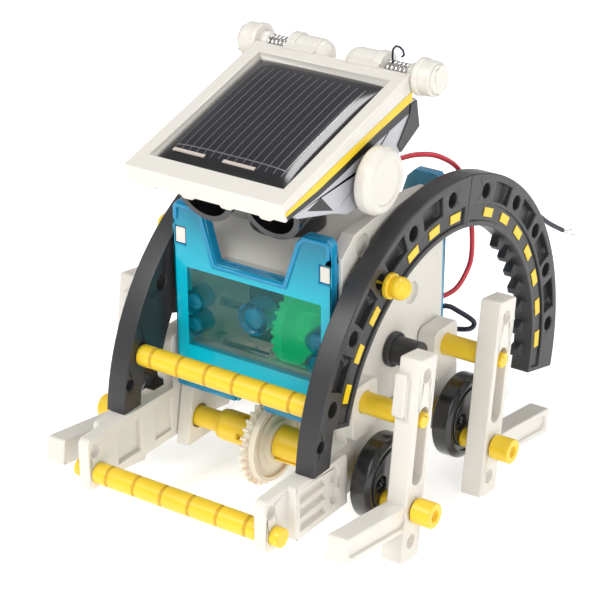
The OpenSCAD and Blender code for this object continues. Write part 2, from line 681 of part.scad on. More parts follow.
module terminal(part) {
  head_place() for (s = [0, 1]) mirror([s, 0, 0]) {
    if (part == "knob") {
      bar_x(8.1, 21, 1.0, [term_d, term_n]);
      bar_x(20.7, 22.2, 4.3, [term_d, term_n]);
      bar_x(22.1, 25.1, 4.0, [term_d, term_n]);
      bar_x(25.0, 26.0, 3.4, [term_d, term_n]);
      bar_x(18.6, 20.8, 2.6, [term_d, term_n]);
    }
    if (part == "spring") for (i = [0 : 4]) translate([13.2 + i * 1.15, term_d, term_n]) rotate([0, 90, 0])
      rotate_extrude($fn = 32) translate([1.9, 0]) circle(0.4, $fn = 16);
  }
}
module terminal_knobs() { color(ivory) terminal("knob"); }
module terminal_springs() { color(steel) terminal("spring"); }

// ---- leads: one closed tube swept along a smooth curve through the route ----
function spline(p, i, t) = let (a = p[max(i - 1, 0)], b = p[i], c = p[i + 1], d = p[min(i + 2, len(p) - 1)])
  0.5 * (2 * b + (c - a) * t + (2 * a - 5 * b + 4 * c - d) * t * t + (3 * b - a - 3 * c + d) * t * t * t);
function curve(p, n) = concat([for (i = [0 : len(p) - 2], k = [0 : n - 1]) spline(p, i, k / n)],
  [p[len(p) - 1]]);
function unit(v) = v / norm(v);
module lead(route, side) {
  sides = 8;
  c = curve(route, 4);
  last = len(c) - 1;
  tangents = [for (i = [0 : last]) unit(c[min(i + 1, last)] - c[max(i - 1, 0)])];
  rings = [for (i = [0 : last]) let (u = unit(cross(tangents[i], side)),
    v = cross(tangents[i], u)) [for (k = [0 : sides - 1]) c[i]
      + lead_r * (cos(360 * k / sides) * u + sin(360 * k / sides) * v)]];
  polyhedron(points = [for (ring = rings) each ring], faces = concat(
    [[for (k = [0 : sides - 1]) k]],
    [for (i = [0 : last - 1], k = [0 : sides - 1]) let (a = i * sides + k, b = i * sides + (k + 1) % sides)
      [a, a + sides, b + sides, b]],
    [[for (k = [sides - 1 : -1 : 0]) last * sides + k]]));
}
module red_lead() { place() color("crimson") lead(red_route, [1, 0.2, 0.3]); }
module black_lead() { place() color([0.1, 0.1, 0.14]) lead(black_route, [0.1, 0.2, 1]); }
module loose_lead() { place() color([0.1, 0.1, 0.14]) lead(loose_route, [1, 0, 0.2]); }

side_frame_left();
side_frame_right();
top_deck();
motor_mount();
front_cover();
rear_cover();
latch_tabs();
front_plate();
output_socket();
motor_can();
motor_pinion();
crown_gear();
gear_axles();
idler_gear();
drive_gear();
front_shaft_left();
front_shaft_right();
rear_shaft();
transfer_gear_front();
transfer_idler();
transfer_gear_rear();
wheel_front_left();
wheel_front_right();
wheel_rear_left();
wheel_rear_right();
crank_front_left();
crank_front_right();
crank_rear_left();
crank_rear_right();
leg_front_left();
leg_front_right();
leg_rear_left();
leg_rear_right();
guide_pins();
rail_left();
rail_right();
lower_front_rod();
upper_front_rod();
arch_front_left();
arch_front_right();
arch_rear_left();
arch_rear_right();
arch_stripes();
arch_pins();
head_frame();
head_shell();
side_trim();
solar_panel();
eye_left();
eye_right();
ear_left();
ear_right();
neck_post();
neck_base();
terminal_knobs();
terminal_springs();
red_lead();
black_lead();
loose_lead();
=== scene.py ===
# %% [markdown]
# # Solar walking robot
# A small plastic robot that walks when light falls on its head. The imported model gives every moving
# part its place; this script gives the parts their moulded edges, their plastics, and the small details
# that a maker would see.

import json
import math

import bmesh
import bpy
from mathutils import Matrix, Vector
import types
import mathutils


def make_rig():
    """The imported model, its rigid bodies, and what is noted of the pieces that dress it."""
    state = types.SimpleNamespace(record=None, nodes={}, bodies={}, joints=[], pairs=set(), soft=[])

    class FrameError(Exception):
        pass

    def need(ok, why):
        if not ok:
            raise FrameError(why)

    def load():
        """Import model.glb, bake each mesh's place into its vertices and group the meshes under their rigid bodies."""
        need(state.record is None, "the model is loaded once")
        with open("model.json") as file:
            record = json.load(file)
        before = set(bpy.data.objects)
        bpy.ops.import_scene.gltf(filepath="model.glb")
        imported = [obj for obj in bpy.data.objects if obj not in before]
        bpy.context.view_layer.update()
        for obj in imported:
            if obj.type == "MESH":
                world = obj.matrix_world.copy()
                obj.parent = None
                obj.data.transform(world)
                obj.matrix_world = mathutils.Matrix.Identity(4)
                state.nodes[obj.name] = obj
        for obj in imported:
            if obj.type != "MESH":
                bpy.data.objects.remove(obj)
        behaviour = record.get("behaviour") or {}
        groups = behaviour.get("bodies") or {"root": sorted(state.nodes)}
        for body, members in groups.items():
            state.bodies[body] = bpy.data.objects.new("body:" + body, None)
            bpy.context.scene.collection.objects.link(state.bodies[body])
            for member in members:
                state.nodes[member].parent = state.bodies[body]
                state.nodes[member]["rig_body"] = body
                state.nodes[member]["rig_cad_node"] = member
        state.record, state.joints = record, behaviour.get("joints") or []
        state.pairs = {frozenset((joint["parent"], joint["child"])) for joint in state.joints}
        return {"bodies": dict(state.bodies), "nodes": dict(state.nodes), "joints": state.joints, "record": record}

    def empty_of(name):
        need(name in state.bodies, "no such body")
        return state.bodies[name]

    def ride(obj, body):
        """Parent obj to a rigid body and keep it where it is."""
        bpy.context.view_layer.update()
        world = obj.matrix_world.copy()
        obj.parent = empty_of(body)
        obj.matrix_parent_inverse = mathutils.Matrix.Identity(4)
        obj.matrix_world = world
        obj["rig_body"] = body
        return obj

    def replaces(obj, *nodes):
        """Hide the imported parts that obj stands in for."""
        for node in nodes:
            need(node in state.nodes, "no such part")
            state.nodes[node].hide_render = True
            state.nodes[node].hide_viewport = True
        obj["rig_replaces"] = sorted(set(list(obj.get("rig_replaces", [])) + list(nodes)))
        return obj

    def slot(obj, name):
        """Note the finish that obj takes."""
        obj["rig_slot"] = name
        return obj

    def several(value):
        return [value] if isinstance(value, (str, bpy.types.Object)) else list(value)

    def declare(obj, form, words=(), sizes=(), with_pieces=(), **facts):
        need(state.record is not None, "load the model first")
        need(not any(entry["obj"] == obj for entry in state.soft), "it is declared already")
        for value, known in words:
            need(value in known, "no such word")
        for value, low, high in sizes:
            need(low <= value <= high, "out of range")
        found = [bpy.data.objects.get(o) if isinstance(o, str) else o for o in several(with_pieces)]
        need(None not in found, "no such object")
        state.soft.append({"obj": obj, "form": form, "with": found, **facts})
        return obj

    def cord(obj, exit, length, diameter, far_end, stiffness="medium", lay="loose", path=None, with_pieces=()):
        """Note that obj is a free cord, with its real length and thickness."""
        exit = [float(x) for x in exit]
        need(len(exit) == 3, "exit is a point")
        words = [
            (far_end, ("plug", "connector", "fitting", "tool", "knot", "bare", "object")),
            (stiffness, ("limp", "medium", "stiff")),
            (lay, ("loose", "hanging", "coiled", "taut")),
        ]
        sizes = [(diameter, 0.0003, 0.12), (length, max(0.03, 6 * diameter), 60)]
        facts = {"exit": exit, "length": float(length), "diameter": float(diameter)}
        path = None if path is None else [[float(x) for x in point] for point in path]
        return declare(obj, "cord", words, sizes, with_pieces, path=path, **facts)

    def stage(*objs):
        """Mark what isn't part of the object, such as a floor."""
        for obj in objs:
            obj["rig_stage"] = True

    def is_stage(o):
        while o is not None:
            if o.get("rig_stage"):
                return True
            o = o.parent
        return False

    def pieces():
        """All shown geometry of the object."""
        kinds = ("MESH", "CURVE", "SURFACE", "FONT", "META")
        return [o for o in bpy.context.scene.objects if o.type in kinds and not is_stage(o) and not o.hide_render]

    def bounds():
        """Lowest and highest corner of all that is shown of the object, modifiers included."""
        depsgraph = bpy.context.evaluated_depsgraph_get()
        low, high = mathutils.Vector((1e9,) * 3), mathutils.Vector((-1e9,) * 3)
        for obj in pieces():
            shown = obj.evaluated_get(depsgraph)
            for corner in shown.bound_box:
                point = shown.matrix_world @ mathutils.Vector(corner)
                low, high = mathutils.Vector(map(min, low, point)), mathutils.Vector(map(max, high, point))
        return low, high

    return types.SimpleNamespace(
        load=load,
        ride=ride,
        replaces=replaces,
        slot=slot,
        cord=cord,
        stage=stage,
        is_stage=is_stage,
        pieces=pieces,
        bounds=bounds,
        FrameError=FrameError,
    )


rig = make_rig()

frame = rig.load()
NODES = frame["nodes"]
cad_box = [list(corner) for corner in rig.bounds()]
print("packed nodes:", len(NODES), "box:", cad_box)

# %% [markdown]
# ## Places
# The maker's drawing has its own zero: the middle plane between the side plates, with the front at
# minus Y. Two small functions turn a place on the drawing, in millimetres, into a place in the model,
# in metres. The second one is for the head, whose panel is tilted: it takes the place across, back and
# out of the panel.

# %% Places on the drawing
MM = 0.001
DRAWING = Vector((-1.1, 6.85, 0.789))
PANEL_MIDDLE = Vector((0, -27.57, 91.1))
HEAD_TILT = math.radians(15.5)


def spot(x, y, z):
    return (Vector((x, y, z)) + DRAWING) * MM


def on_head(x, back, out):
    c, s = math.cos(HEAD_TILT), math.sin(HEAD_TILT)
    return spot(x, PANEL_MIDDLE.y + back * c - out * s, PANEL_MIDDLE.z + back * s + out * c)


print("panel middle:", on_head(0, 0, 0))

# %% [markdown]
# ## Camera
# The robot is seen from its right front, a little from above, through a long lens, so that its edges
# stay almost parallel. The camera is placed by its two angles and its distance, and turned by a slight
# roll.

# %% Camera
AROUND, ABOVE, ROLL = math.radians(34.73), math.radians(25.6), math.radians(-0.49)
LOOK_AT = Vector((-1.1, -10.53, 45.21)) * MM
DISTANCE = 503.45 * MM

back = Vector((math.sin(AROUND) * math.cos(ABOVE), -math.cos(AROUND) * math.cos(ABOVE), math.sin(ABOVE)))
level = Vector((math.cos(AROUND), math.sin(AROUND), 0))
upright = back.cross(level)
right = math.cos(ROLL) * level + math.sin(ROLL) * upright
up = math.cos(ROLL) * upright - math.sin(ROLL) * level

camera = bpy.data.objects.new("camera", bpy.data.cameras.new("camera"))
camera.data.lens = 133.34
camera.data.sensor_width = 36
facing = Matrix((right, up, back)).transposed().to_4x4()
camera.matrix_world = Matrix.Translation(LOOK_AT + back * DISTANCE) @ facing
bpy.context.scene.collection.objects.link(camera)
bpy.context.scene.camera = camera
print("camera at", tuple(round(v, 3) for v in camera.location))

# %% [markdown]
# ## Shader sums
# A material's pattern is a sum of small steps. This class wraps one socket, so that a step can be
# written as a plain Python expression, and `Finish` holds one material with its main shader.

# %% Shader helpers
class Wire:
    def __init__(self, finish, socket):
        self.finish = finish
        self.socket = socket

    def step(self, operation, other=None, flip=False):
        inputs = [self] if other is None else ([other, self] if flip else [self, other])
        return self.finish.add("ShaderNodeMath", dict(enumerate(inputs)), operation=operation)

    def __add__(self, other):
        return self.step("ADD", other)

    def __sub__(self, other):
        return self.step("SUBTRACT", other)

    def __rsub__(self, other):
        return self.step("SUBTRACT", other, flip=True)

    def __mul__(self, other):
        return self.step("MULTIPLY", other)

    def __truediv__(self, other):
        return self.step("DIVIDE", other)

    def __gt__(self, other):
        return self.step("GREATER_THAN", other)

    def __lt__(self, other):
        return self.step("LESS_THAN", other)

    def __abs__(self):
        return self.step("ABSOLUTE")

    __radd__ = __add__
    __rmul__ = __mul__


class Finish:
    def __init__(self, name, colour, **plain):
        self.material = bpy.data.materials.new(name)
        self.material.use_nodes = True
        self.tree = self.material.node_tree
        self.shader = self.tree.nodes["Principled BSDF"]
        self.shader.inputs["Base Color"].default_value = (*colour, 1)
        for socket, value in plain.items():
            self.shader.inputs[socket.replace("_", " ")].default_value = value

    def add(self, kind, inputs=None, out=0, **settings):
        node = self.tree.nodes.new(kind)
        for key, value in settings.items():
            if key == "ramp":
                ramp = node.color_ramp
                for element, (place, shade) in zip(ramp.elements, value):
                    element.position = place
                    element.color = shade
            else:
                setattr(node, key, value)
        for key, value in (inputs or {}).items():
            if isinstance(value, Wire):
                self.tree.links.new(value.socket, node.inputs[key])
            else:
                node.inputs[key].default_value = value
        return Wire(self, node.outputs[out])

    def feed(self, socket, wire):
        self.tree.links.new(wire.socket, self.shader.inputs[socket])

    def place(self):
        return self.add("ShaderNodeTexCoord", out="Object")

    def noise(self, scale, detail=3.0):
        return self.add("ShaderNodeTexNoise", {"Vector": self.place(), "Scale": scale, "Detail": detail})

    def blend(self, factor, first, second):
        inputs = {0: factor, 6: first, 7: second}
        return self.add("ShaderNodeMix", inputs, out=2, data_type="RGBA")


# %% [markdown]
# ## Plastics
# Every moulded part is the same kind of plastic in another colour: slightly satin, with faint clouds in
# its colour, uneven gloss where it was handled, and a fine skin from the mould. One function mixes them
# all, so that the parts look as if they came from one box.

# %% Plastics
def plastic(name, colour, rough=0.36, clouds=0.05, skin=0.00002, skin_scale=2600, **plain):
    mix = Finish(name, colour, **plain)
    cloud = mix.noise(90)
    darker = tuple(c * (1 - 2 * clouds) for c in colour)
    lighter = tuple(min(1.0, c * (1 + clouds)) for c in colour)
    mix.feed("Base Color", mix.blend(cloud, (*darker, 1), (*lighter, 1)))
    mix.feed("Roughness", mix.noise(260) * 0.16 + (rough - 0.08))
    grain = mix.noise(skin_scale, 2.0)
    mix.feed("Normal", mix.add("ShaderNodeBump", {"Height": grain, "Strength": 0.5, "Distance": skin}))
    return mix.material


IVORY = plastic("ivory plastic", (0.73, 0.70, 0.64), rough=0.34, clouds=0.02, Subsurface_Weight=0.08,
                Subsurface_Scale=0.002)
YELLOW = plastic("yellow plastic", (0.88, 0.60, 0.030), rough=0.33, clouds=0.05, Subsurface_Weight=0.1,
                 Subsurface_Scale=0.002)
# A darker yellow for the walls of the rods' grooves: painted shade.
YELLOW_GROOVE_SHADE = plastic("yellow painted groove shade", (0.68, 0.40, 0.014), rough=0.4)
CHARCOAL = plastic("charcoal plastic", (0.031, 0.031, 0.033), rough=0.38, clouds=0.12, skin=0.00004)
# The green gear is given an emission, a painted glow: the plastic is no lamp.
GLOWING_GREEN = plastic("green plastic with painted glow", (0.01, 0.62, 0.16), rough=0.30, Emission_Color=(0.0, 0.6, 0.16, 1),
                Emission_Strength=0.8)
WHEEL_DARK = plastic("wheel plastic", (0.016, 0.016, 0.017), rough=0.24, clouds=0.1, Coat_Weight=0.3)
MILKY = plastic("natural plastic", (0.80, 0.74, 0.62), rough=0.32, Subsurface_Weight=0.3,
                Subsurface_Scale=0.003)
BLACK = plastic("black gloss plastic", (0.008, 0.008, 0.010), rough=0.16, skin=0.000005, Coat_Weight=0.5)
SILVER = plastic("silver film", (0.50, 0.505, 0.54), rough=0.34, clouds=0.03, Metallic=0.2)
STICKER_BLACK = plastic("black film", (0.006, 0.006, 0.008), rough=0.28, skin=0.00001)
STICKER_YELLOW = plastic("yellow film", (0.86, 0.60, 0.012), rough=0.30, skin=0.00001)
DEEP_AQUA = plastic("tinted cover edge", (0.0, 0.31, 0.58), rough=0.16, clouds=0.03, skin=0.000004,
                    Alpha=0.8, Coat_Weight=0.3)
TINNED = plastic("tinned tab", (0.66, 0.58, 0.52), rough=0.36, clouds=0.05, Metallic=0.2)
STEEL = plastic("plated steel", (0.62, 0.61, 0.60), rough=0.22, clouds=0.06, Metallic=1.0)
RED_WIRE = plastic("red insulation", (0.62, 0.03, 0.05), rough=0.35)
DARK_WIRE = plastic("dark insulation", (0.010, 0.012, 0.035), rough=0.35)
print("plastics:", len(bpy.data.materials))

# %% [markdown]
# ## Tinted covers
# The covers are clear plastic with a strong tint. A white plate stands close behind the front one, so
# most of it glows; only the window in that plate lets the eye through to the gears. The tint is
# therefore thick everywhere but there. In the window the sheet is more see-through and takes a dark
# aqua, which is painted shade: the shaded inside of the housing. The tint fades to a deeper blue up
# the two towers, which have nothing white behind them, and the tubes behind the sheet have a tint of
# their own.

# %% Tinted cover
WINDOW_LEFT, WINDOW_RIGHT, WINDOW_LOW, WINDOW_HIGH = -17.6, 18.3, 36.2, 55.4
SHEET_BACK = -34.3
TOWER_FOOT, TOWER_FADE = 57, 70
COVER_ALPHA, WINDOW_ALPHA = 0.86, 0.36
SHADE_AQUA, BRIGHT_AQUA, TOWER_AQUA = (0.0, 0.40, 0.58, 1), (0.0, 0.58, 0.74, 1), (0.0, 0.20, 0.34, 1)
# The window's dark aqua is painted shade: the shaded inside of the housing, seen through the sheet.
WINDOW_SHADE_AQUA, TUBE_AQUA = (0.0, 0.11, 0.12, 1), (0.0, 0.30, 0.50, 1)


def tinted_cover():
    mix = Finish("tinted cover", (0.0, 0.42, 0.60), Coat_Weight=0.3, Coat_Roughness=0.05,
                 Specular_IOR_Level=0.35)
    low = spot(WINDOW_LEFT, SHEET_BACK, WINDOW_LOW)
    high = spot(WINDOW_RIGHT, 0, WINDOW_HIGH)
    x = mix.add("ShaderNodeSeparateXYZ", {0: mix.place()}, out=0)
    y = mix.add("ShaderNodeSeparateXYZ", {0: mix.place()}, out=1)
    z = mix.add("ShaderNodeSeparateXYZ", {0: mix.place()}, out=2)
    front = y < low.y
    window = (x > low.x) * (x < high.x) * (z > low.z) * (z < high.z) * front
    streak = mix.noise(60, 2.0)
    glow = mix.blend(streak, SHADE_AQUA, BRIGHT_AQUA)
    tower = (z - spot(0, 0, TOWER_FOOT).z) * TOWER_FADE
    glow = mix.blend(tower, glow, TOWER_AQUA)
    # In the window the sheet takes the dark aqua, painted shade of the housing's inside.
    sheet = mix.blend(window, glow, WINDOW_SHADE_AQUA)
    mix.feed("Base Color", mix.blend(front, TUBE_AQUA, sheet))
    mix.feed("Alpha", COVER_ALPHA - window * (COVER_ALPHA - WINDOW_ALPHA))
    mix.feed("Roughness", mix.noise(200, 2.0) * 0.08 + 0.10)
    return mix.material


AQUA = tinted_cover()

# %% [markdown]
# ## Stage
# A pale floor, wide enough that no edge shows, one large soft light from the upper left, and weaker
# ones from the right and the back. The floor glows a little, which keeps the shadows faint. One more
# light is seen only in glossy surfaces: it draws the bright streak along the panel's rounded rim and
# leaves everything else alone.

# %% Floor and lights
def add_object(name, mesh, *materials):
    obj = bpy.data.objects.new(name, mesh)
    for material in materials:
        obj.data.materials.append(material)
    bpy.context.scene.collection.objects.link(obj)
    return obj


def soft_light(name, place, power, size, gloss_only=False):
    light = bpy.data.lights.new(name, "AREA")
    light.energy = power
    light.size = size
    obj = bpy.data.objects.new(name, light)
    obj.location = place
    obj.visible_diffuse = not gloss_only
    obj.rotation_euler = (LOOK_AT - Vector(place)).to_track_quat("-Z", "Y").to_euler()
    bpy.context.scene.collection.objects.link(obj)


FLOOR_HALF = 3
floor_mesh = bpy.data.meshes.new("floor")
floor_corners = [(x * FLOOR_HALF, y * FLOOR_HALF, 0) for x, y in ((-1, -1), (1, -1), (1, 1), (-1, 1))]
floor_mesh.from_pydata(floor_corners, [], [(0, 1, 2, 3)])
PAPER = Finish("pale paper", (0.95, 0.95, 0.95), Roughness=0.9, Emission_Color=(1, 1, 1, 1),
               Emission_Strength=0.5)
PAPER.feed("Roughness", PAPER.noise(40) * 0.1 + 0.85)
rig.stage(add_object("floor", floor_mesh, PAPER.material))

SKY_GLOW = 0.42
soft_light("key light", (-0.30, -0.75, 0.95), power=8.4, size=0.5)
soft_light("side light", (0.85, -0.55, 0.50), power=3.8, size=0.5)
soft_light("back light", (0.75, 0.65, 0.80), power=3.5, size=0.5)
soft_light("rim light", (-0.06, 0.38, 1.03), power=4.5, size=0.34, gloss_only=True)
bpy.context.scene.view_settings.view_transform = "Standard"
world = bpy.data.worlds.new("studio")
world.use_nodes = True
world.node_tree.nodes["Background"].inputs["Color"].default_value = (1, 1, 1, 1)
world.node_tree.nodes["Background"].inputs["Strength"].default_value = SKY_GLOW
bpy.context.scene.world = world
print("stage ready")

# %% [markdown]
# ## Leads
# The panel's current comes down through a thin red lead, and a dark one leaves the housing just below
# it and turns back in. A third one is loose. Each is a smooth curve through a few listed points, with
# a round section.

# %% Leads
LEAD_WIDTH = 1.2 * MM
RED_ROUTE = [(2.8, -18, 72.6), (8, -11, 74), (15, 0, 76.3), (18, 4, 76.7), (20, 9, 75), (20.9, 16, 70),
             (21.2, 20, 63), (21.5, 22, 54), (21.7, 22, 46), (21.4, 20, 42), (20.5, 17, 39), (18.5, 13.5, 37.8),
             (16, 11.2, 37.5)]
DARK_ROUTE = [(16, 8, 34.5), (16, 11.2, 34.5), (20.4, 13, 36.2), (23, 15, 34.5), (25.2, 17, 32.2),
              (25.5, 17.5, 30.8), (24.8, 16, 30.1), (21, 13.5, 30.3), (16, 11.2, 30.5), (16, 8, 30.5)]
LOOSE_ROUTE = [(14, 11.2, 58), (16, 18, 60), (18, 30, 60.5), (20, 42, 54), (21.5, 52, 46.5), (22.5, 58, 41.5),
               (23.5, 64, 37.5)]


def smooth_route(points, steps=4):
    places = [spot(*p) for p in points]
    route = []
    for i in range(len(places) - 1):
        a, b = places[max(i - 1, 0)], places[i]
        c, d = places[i + 1], places[min(i + 2, len(places) - 1)]
        for k in range(steps):
            t = k / steps
            route.append(0.5 * (2 * b + (c - a) * t + (2 * a - 5 * b + 4 * c - d) * t ** 2
                                + (3 * b - a - 3 * c + d) * t ** 3))
    return route + [places[-1]]


def lead(name, route, width, material):
    curve = bpy.data.curves.new(name, "CURVE")
    curve.dimensions = "3D"
    curve.bevel_depth = width / 2
    curve.bevel_resolution = 5
    curve.use_fill_caps = True
    line = curve.splines.new("POLY")
    line.points.add(len(route) - 1)
    for point, place in zip(line.points, route):
        point.co = (*place, 1)
    return add_object(name, curve, material)


def length_of(route):
    return sum((b - a).length for a, b in zip(route, route[1:]))


for name, node, points, material, end in (
        ("red_wire", "red_lead", RED_ROUTE, RED_WIRE, "object"),
        ("dark_wire", "black_lead", DARK_ROUTE, DARK_WIRE, "object"),
        ("loose_wire", "loose_lead", LOOSE_ROUTE, DARK_WIRE, "bare")):
    route = smooth_route(points)
    wire = lead(name, route, LEAD_WIDTH, material)
    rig.ride(wire, "chassis")
    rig.replaces(wire, node)
    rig.slot(wire, "red_wire" if node == "red_lead" else "dark_wire")
    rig.cord(wire, exit=route[0], length=length_of(route), diameter=LEAD_WIDTH, far_end=end,
            stiffness="medium", lay="hanging")
    print(name, "length mm:", round(length_of(route) * 1000, 1))

# %% [markdown]
# ## Moulded edges
# A moulded part has no knife edges: each outer edge is rounded by a few tenths of a millimetre, and
# that is what catches the light. A copy of each imported part is cleaned, its outer sharp edges are
# weighted, and a Bevel modifier rounds just those. Inner corners stay crisp, because a mould cuts them
# that way. Weighted normals then keep the wide faces flat beside their rounded edges. Two kinds of
# piece get a second finish on some faces: the covers look deeper at their cut edges, where the light
# runs along the sheet, and the ribbed rods get a darker yellow on their groove walls, which is painted
# shade.

# %% Moulded edges
def body_of(node):
    return next(b for b, members in frame["record"]["behaviour"]["bodies"].items() if node in members)


def slot_of(node):
    return next(s["material_slot"] for s in frame["record"]["subparts"] if s["node"] == node)


def baked(obj):
    graph = bpy.context.evaluated_depsgraph_get()
    mesh = bpy.data.meshes.new_from_object(obj.evaluated_get(graph), depsgraph=graph)
    mesh.name = obj.name
    obj.modifiers.clear()
    obj.data = mesh
    return obj


def smooth_shade(obj, angle=35):
    obj.data.shade_smooth()
    obj.data.set_sharp_from_angle(angle=math.radians(angle))
    return obj


FLATNESS = 90


def moulded(node, material, edge, turn=30):
    bm = bmesh.new()
    bm.from_mesh(NODES[node].data)
    bmesh.ops.remove_doubles(bm, verts=bm.verts, dist=0.000002)
    weight = bm.edges.layers.float.new("bevel_weight_edge")
    for e in bm.edges:
        if len(e.link_faces) == 2 and e.calc_face_angle_signed() > math.radians(turn):
            e[weight] = 1.0
    mesh = bpy.data.meshes.new(node + "_moulded")
    bm.to_mesh(mesh)
    bm.free()
    mesh.materials.clear()
    obj = add_object(node + "_moulded", mesh, material)
    bevel = obj.modifiers.new("edge", "BEVEL")
    bevel.width = edge * MM
    bevel.segments = 3
    bevel.limit_method = "WEIGHT"
    bevel.use_clamp_overlap = False
    smooth_shade(baked(obj))
    flat = obj.modifiers.new("flat", "WEIGHTED_NORMAL")
    flat.keep_sharp = True
    flat.weight = FLATNESS
    baked(obj)
    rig.ride(obj, body_of(node))
    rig.replaces(obj, node)
    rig.slot(obj, slot_of(node))
    return obj


def both(name):
    return [name + "_left", name + "_right"]


MOULDINGS = [
    (IVORY, 0.35, both("leg_front") + both("leg_rear")),
    (IVORY, 0.25, both("side_frame") + both("rail") + ["head_frame", "neck_post"]),
    (IVORY, 0.2, both("ear")),
    (IVORY, 0.15, ["top_deck", "motor_mount", "latch_tabs", "front_plate"]),
    (IVORY, 0.3, ["terminal_knobs"]),
    (AQUA, 0.35, ["front_cover", "rear_cover"]),
    (CHARCOAL, 0.3, both("arch_front") + both("arch_rear") + ["neck_base", "output_socket"]),
    (WHEEL_DARK, 0.25, both("wheel_front") + both("wheel_rear")),
    (YELLOW, 0.25, both("crank_front") + both("crank_rear") + ["guide_pins", "arch_pins"]),
    (YELLOW, 0.15, ["lower_front_rod", "upper_front_rod"] + both("front_shaft")),
    (SILVER, 0.3, ["head_shell"]),
]
FACING = 0.9
GROOVE_SLOPE, ROD_HALF = 0.35, 22 * MM


def second_finish(piece, material, wanted):
    piece.data.materials.append(material)
    for face in piece.data.polygons:
        face.material_index = int(wanted(face))


def on_cut_edge(face):
    return abs(face.normal.y) < FACING


# The groove walls of the ribbed rods, which take the painted shade.
def gets_groove_shade(face):
    return abs(face.normal.x) > GROOVE_SLOPE and abs(face.center.x - spot(0, 0, 0).x) < ROD_HALF


for material, edge, names in MOULDINGS:
    for node in names:
        piece = moulded(node, material, edge)
        if material is AQUA:
            second_finish(piece, DEEP_AQUA, on_cut_edge)
        if node.endswith("front_rod"):
            second_finish(piece, YELLOW_GROOVE_SHADE, gets_groove_shade)
        print(node, "faces:", len(piece.data.polygons))

# %% [markdown]
# ## Parts that keep their imported shape
# Gears, axles and the motor are small or hidden, and their imported meshes are already right. They only
# get a finish.

# %% Finishes on imported parts
# The crown gear's green carries a painted glow.
KEPT = {IVORY: ["motor_pinion", "idler_gear", "transfer_gear_front", "transfer_idler", "transfer_gear_rear"],
        GLOWING_GREEN: ["crown_gear"], MILKY: ["drive_gear"], STEEL: ["motor_can", "gear_axles"],
        YELLOW: ["rear_shaft"], STICKER_YELLOW: ["arch_stripes", "side_trim"], BLACK: both("eye")}
for material, names in KEPT.items():
    for node in names:
        mesh = NODES[node].data
        mesh.materials.clear()
        mesh.materials.append(material)
        print(node, "is", material.name)

# %% [markdown]
# ## Solar panel
# The panel is a thin dark cell under a drop of clear resin that was poured and left to round itself at
# the rim. The resin is one crowned grid whose height follows a power curve, so the top is almost flat
# and the rim falls away. The cell and its fine silver fingers are a pattern read from the panel's own
# directions.

# %% Resin slab
PANEL_WIDE, PANEL_LONG = 33.6, 40.8
CROWN, RIM, POWER = 1.5, -0.8, 4
SKIRT = 0.9


def slab_height(u, v):
    return RIM + (CROWN - RIM) * math.sqrt(max(0.0, (1 - abs(u) ** POWER) * (1 - abs(v) ** POWER)))


def crowned_slab(name, wide, long, steps=(60, 72)):
    bm = bmesh.new()
    across, along = steps
    rows = []
    for j in range(along + 1):
        v = -math.cos(math.pi * j / along)
        row = []
        for i in range(across + 1):
            u = -math.cos(math.pi * i / across)
            row.append(bm.verts.new(on_head(u * wide / 2, v * long / 2, slab_height(u, v))))
        rows.append(row)
    for a, b in zip(rows, rows[1:]):
        for i in range(across):
            bm.faces.new((a[i], a[i + 1], b[i + 1], b[i]))
    edges = [e for e in bm.edges if e.is_boundary]
    skirt = bmesh.ops.extrude_edge_only(bm, edges=edges)["geom"]
    drop = on_head(0, 0, -SKIRT) - on_head(0, 0, 0)
    new = [g for g in skirt if isinstance(g, bmesh.types.BMVert)]
    bmesh.ops.translate(bm, verts=new, vec=drop)
    bmesh.ops.contextual_create(bm, geom=[e for e in bm.edges if e.is_boundary])
    bmesh.ops.recalc_face_normals(bm, faces=bm.faces)
    mesh = bpy.data.meshes.new(name)
    bm.to_mesh(mesh)
    bm.free()
    return mesh


CELL = Finish("cell under resin", (0.012, 0.011, 0.014), Coat_Weight=0.9, Coat_Roughness=0.14,
              Specular_IOR_Level=0.1)
turned = CELL.add("ShaderNodeVectorMath", {0: CELL.place(), 1: tuple(on_head(0, 0, 0))},
                  operation="SUBTRACT")
turned = CELL.add("ShaderNodeVectorRotate", {"Vector": turned, "Angle": -HEAD_TILT},
                  rotation_type="X_AXIS")
across = CELL.add("ShaderNodeSeparateXYZ", {0: turned}, out=0)
along = CELL.add("ShaderNodeSeparateXYZ", {0: turned}, out=1)
CELL_HALF_WIDE, CELL_HALF_LONG = 14.6, 17.8
FINGER_STEP, FINGER_FIRST, FINGER_HALF, FINGER_REACH, FINGER_SHIFT = 2.0, 20.5, 0.045, 16.6, 0.4
RAIL_BACK, RAIL_HALF, RAIL_REACH = 15.2, 0.16, 14.2
cell_area = (abs(across) < CELL_HALF_WIDE * MM) * (abs(along) < CELL_HALF_LONG * MM)
comb = across / (FINGER_STEP * MM) + FINGER_FIRST
tooth = CELL.add("ShaderNodeMath", {0: comb}, operation="FRACT")
finger = (abs(tooth - 0.5) < FINGER_HALF) * (abs(along + FINGER_SHIFT * MM) < FINGER_REACH * MM) * cell_area
rail_line = (abs(along + RAIL_BACK * MM) < RAIL_HALF * MM) * (abs(across) < RAIL_REACH * MM)
silver = CELL.add("ShaderNodeMath", {0: finger, 1: rail_line}, operation="MAXIMUM")
speckle = CELL.noise(900, 2.0)
dark_cell = CELL.blend(speckle, (0.003, 0.003, 0.007, 1), (0.008, 0.007, 0.013, 1))
under = CELL.blend(cell_area, (0.006, 0.006, 0.007, 1), dark_cell)
CELL.feed("Base Color", CELL.blend(silver, under, (0.20, 0.19, 0.20, 1)))
CELL.feed("Roughness", 0.5 - silver * 0.2)
CELL.feed("Metallic", silver * 0.5)

